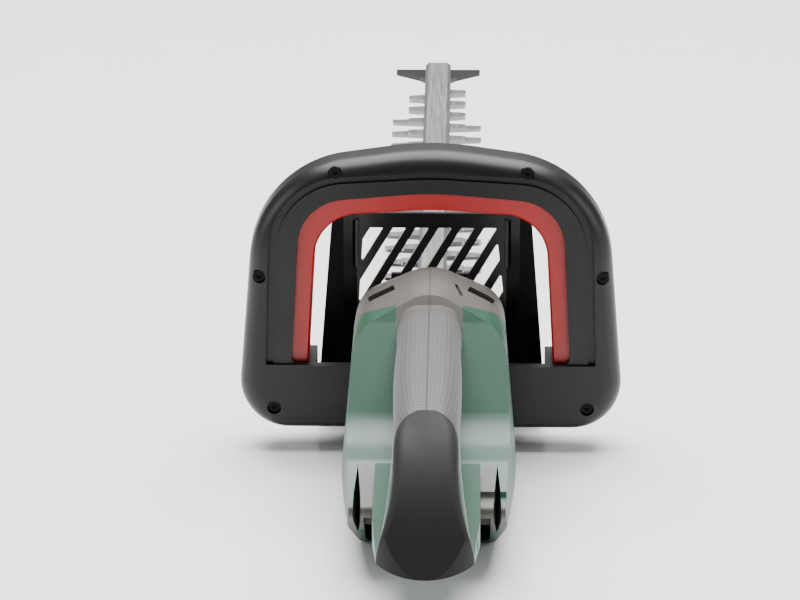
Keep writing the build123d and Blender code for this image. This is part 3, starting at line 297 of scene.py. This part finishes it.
# %% Metal recipe
SCRATCH_STRENGTH = 0.4
BRIGHT_LINE, DULL_LINE = 0.8, 1.2


def metal(name, dark, light, rough, along=(1, 1, 1), line_mm=1.2, relief=0.01):
    """A worked metal: scratches or pits stretched along the direction it was worked in."""
    material = bpy.data.materials.new(name)
    material.use_nodes = True
    tree = material.node_tree
    skin = tree.nodes["Principled BSDF"]
    place = add(tree, "ShaderNodeTexCoord").outputs["Object"]
    drawn = add(tree, "ShaderNodeMapping", {"Vector": place, "Scale": along})
    lines = add(tree, "ShaderNodeTexNoise", {"Vector": drawn.outputs["Vector"],
                                             "Scale": 1000 / line_mm, "Detail": 5.0})
    colour = two_tone(tree, lines.outputs["Fac"], dark, light)
    gloss = add(tree, "ShaderNodeMapRange", {"Value": lines.outputs["Fac"], "From Min": NOISE_LOW,
                                             "From Max": NOISE_HIGH,
                                             "To Min": rough * BRIGHT_LINE,
                                             "To Max": rough * DULL_LINE})
    bump = add(tree, "ShaderNodeBump", {"Height": lines.outputs["Fac"],
                                        "Strength": SCRATCH_STRENGTH, "Distance": relief * MM})
    tree.links.new(colour, skin.inputs["Base Color"])
    tree.links.new(gloss.outputs["Result"], skin.inputs["Roughness"])
    tree.links.new(bump.outputs["Normal"], skin.inputs["Normal"])
    skin.inputs["Metallic"].default_value = 1.0
    return material


# %% The blade set
ALONG_BLADE = (1, 0.04, 1)
steel_ground = metal("steel_laser_cut_ground", "#8a8c8c", "#a5a7a7", 0.36, ALONG_BLADE)
dress(steel_ground, "comb_blade", "cutter_blade")
aluminium_extruded = metal("aluminium_extruded_satin", "#8f9295", "#a3a6a8", 0.42, ALONG_BLADE)
dress(aluminium_extruded, "blade_beam")

# %% Castings, fasteners and gears
aluminium_cast = metal("aluminium_die_cast", "#a3a5a7", "#b3b5b7", 0.55, line_mm=1.6, relief=0.03)
dress(aluminium_cast, "gear_case", "gear_case_cover", "motor_end_cap")
steel_phosphated = metal("steel_phosphated_black", "#19191a", "#252526", 0.5)
dress(steel_phosphated, "guard_screws", "housing_screws", "loop_foot_screws", "loop_screws",
      "gear_case_screws", "case_bolts", "tip_screw", "blade_bolts")
steel_machined = metal("steel_machined", "#8c8d90", "#a8a9ac", 0.3)
dress(steel_machined, "drive_gear", "crank_disc", "gear_axle", "pinion", "motor_shaft",
      "trigger_pin", "motor_can", "armature")
bronze_sintered = metal("bronze_sintered_oiled", "#a8783a", "#bd8a48", 0.45, line_mm=0.8)
dress(bronze_sintered, "motor_bush_lower", "motor_bush_upper")
steel_spring = metal("steel_spring_drawn_wire", "#a9abad", "#bdbfc1", 0.3)
dress(steel_spring, "trigger_spring", "switch_bar_springs")

# %% [markdown]
# The two coil springs over the switch bar get shorter as the bar is squeezed. A CAD part is
# rigid, so a copy of the coils, with a mesh of its own, stands for them and is hung on the tool
# body.

# %% A copy of the springs
coils = bpy.data.objects.new("bar_spring_coils", nodes["switch_bar_springs"].data.copy())
bpy.context.scene.collection.objects.link(coils)
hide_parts("switch_bar_springs")
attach(coils, "tool_body")
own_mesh(coils)

# %% Tinned brass
brass_tinned = metal("brass_blades_tinned", "#b9b4a6", "#cdc8ba", 0.35)
dress(brass_tinned, "terminal_blades")

# %% [markdown]
# ## The insides
# These parts are seen only through the battery bay or with the shell off, but each is still its
# own stuff: nylon, glass-epoxy board with green solder mask, ferrite, pressed felt and
# PVC-covered wire. The plastic recipe serves all of them: only colour, gloss and grain differ.

# %% Inner parts
nylon_black = plastic("nylon_black_inner", "#26272a", "#303134", 0.5)
dress(nylon_black, "battery_rails", "cooling_fan", "front_microswitch", "rear_microswitch",
      "terminal_block")
solder_mask = plastic("solder_mask_green", "#0f4a26", "#155a30", 0.3)
dress(solder_mask, "control_board")
ferrite = plastic("ferrite_dark_grey", "#3a3a3d", "#454548", 0.7)
dress(ferrite, "motor_magnets")
felt_grey = plastic("wool_felt_pressed", "#8f8b80", "#a19d92", 0.95, grain=0.2, grain_mm=0.9,
                    Sheen_Weight=0.5, Sheen_Roughness=0.6)
dress(felt_grey, "felt_seal")
pvc_red = plastic("PVC_lead_red", "#8f1d1d", "#a52525", 0.4)
dress(pvc_red, "motor_leads")

# %% [markdown]
# ## Floor, light and camera
# A tool like this is shown on a white table that fades into a white room. The floor is a large
# lacquered board, pale and a little glossy, so that the tool stands on its own faint reflection.

# %% Floor
low = Vector(cad_box[0])
FLOOR_SIZE, FLOOR_AHEAD = 14.0, 2.0
bpy.ops.mesh.primitive_plane_add(size=FLOOR_SIZE, location=(0, FLOOR_AHEAD, low.z))
floor = bpy.context.object
floor.name = "studio_floor"
lacquer = plastic("lacquered_board_white", "#f6f6f5", "#fafaf9", 0.14, grain=0.0)
floor.data.materials.append(lacquer)

# %% [markdown]
# Black plastic is only as black as the room it mirrors. A dim room keeps it black, and a few
# large soft boxes then draw its shape: one overhead, one far behind the tool whose light skims
# the tops, and one low at each side for the loop's round edge.

# %% Light
world = bpy.data.worlds.new("dim_white_room")
world.use_nodes = True
ROOM_LIGHT = 0.3
room = world.node_tree.nodes["Background"].inputs
room["Color"].default_value = linear("#ffffff")
room["Strength"].default_value = ROOM_LIGHT
bpy.context.scene.world = world


def soft_box(name, place, aim, width, height, power):
    """A rectangular soft light at place that looks at aim."""
    lamp = bpy.data.lights.new(name, "AREA")
    lamp.shape = "RECTANGLE"
    lamp.size, lamp.size_y, lamp.energy = width, height, power
    holder = bpy.data.objects.new(name, lamp)
    holder.location = place
    holder.rotation_euler = (Vector(aim) - Vector(place)).to_track_quat("-Z", "Y").to_euler()
    bpy.context.scene.collection.objects.link(holder)
    print(name, "at", place, "with", power, "W")


loop_middle = sum(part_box("loop_shell_rear"), Vector()) / 2
soft_box("overhead_box", (0, 0.5, 2.3), loop_middle, 2.4, 2.4, 230)
soft_box("far_box", (0, 3.8, 2.4), loop_middle, 4.0, 1.6, 22)
soft_box("left_box", (-2.0, -0.5, 0.9), loop_middle, 1.0, 1.2, 14)
soft_box("right_box", (2.0, -0.5, 0.9), loop_middle, 1.0, 1.2, 14)

# %% [markdown]
# ## Camera
# The camera stands straight behind the tool, about 19 degrees above it, with a long lens, as a
# product photographer would, so that the blade shortens but its lines hardly converge.

# %% Camera
TILT, YAW = math.radians(19.3), math.radians(0.95)
LENS_MM, SENSOR_MM = 199.4, 36.0
DISTANCE, SIDE, RISE = 2.718, 0.0188, 0.0877
loop_joint_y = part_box("loop_shell_rear")[1].y
right = Vector((math.cos(YAW), math.sin(YAW), 0))
ahead = Vector((-math.sin(YAW) * math.cos(TILT), math.cos(YAW) * math.cos(TILT), -math.sin(TILT)))
up = right.cross(ahead)
camera = bpy.data.objects.new("camera", bpy.data.cameras.new("camera"))
camera.data.lens, camera.data.sensor_width = LENS_MM, SENSOR_MM
spot = Vector((0, loop_joint_y, low.z)) - SIDE * right + RISE * up - DISTANCE * ahead
turn = Matrix((right, up, -ahead)).transposed()
camera.matrix_world = Matrix.Translation(spot) @ turn.to_4x4()
bpy.context.scene.collection.objects.link(camera)
bpy.context.scene.camera = camera
print("camera at", [round(v, 3) for v in spot], "loop joint at", round(loop_joint_y, 4))
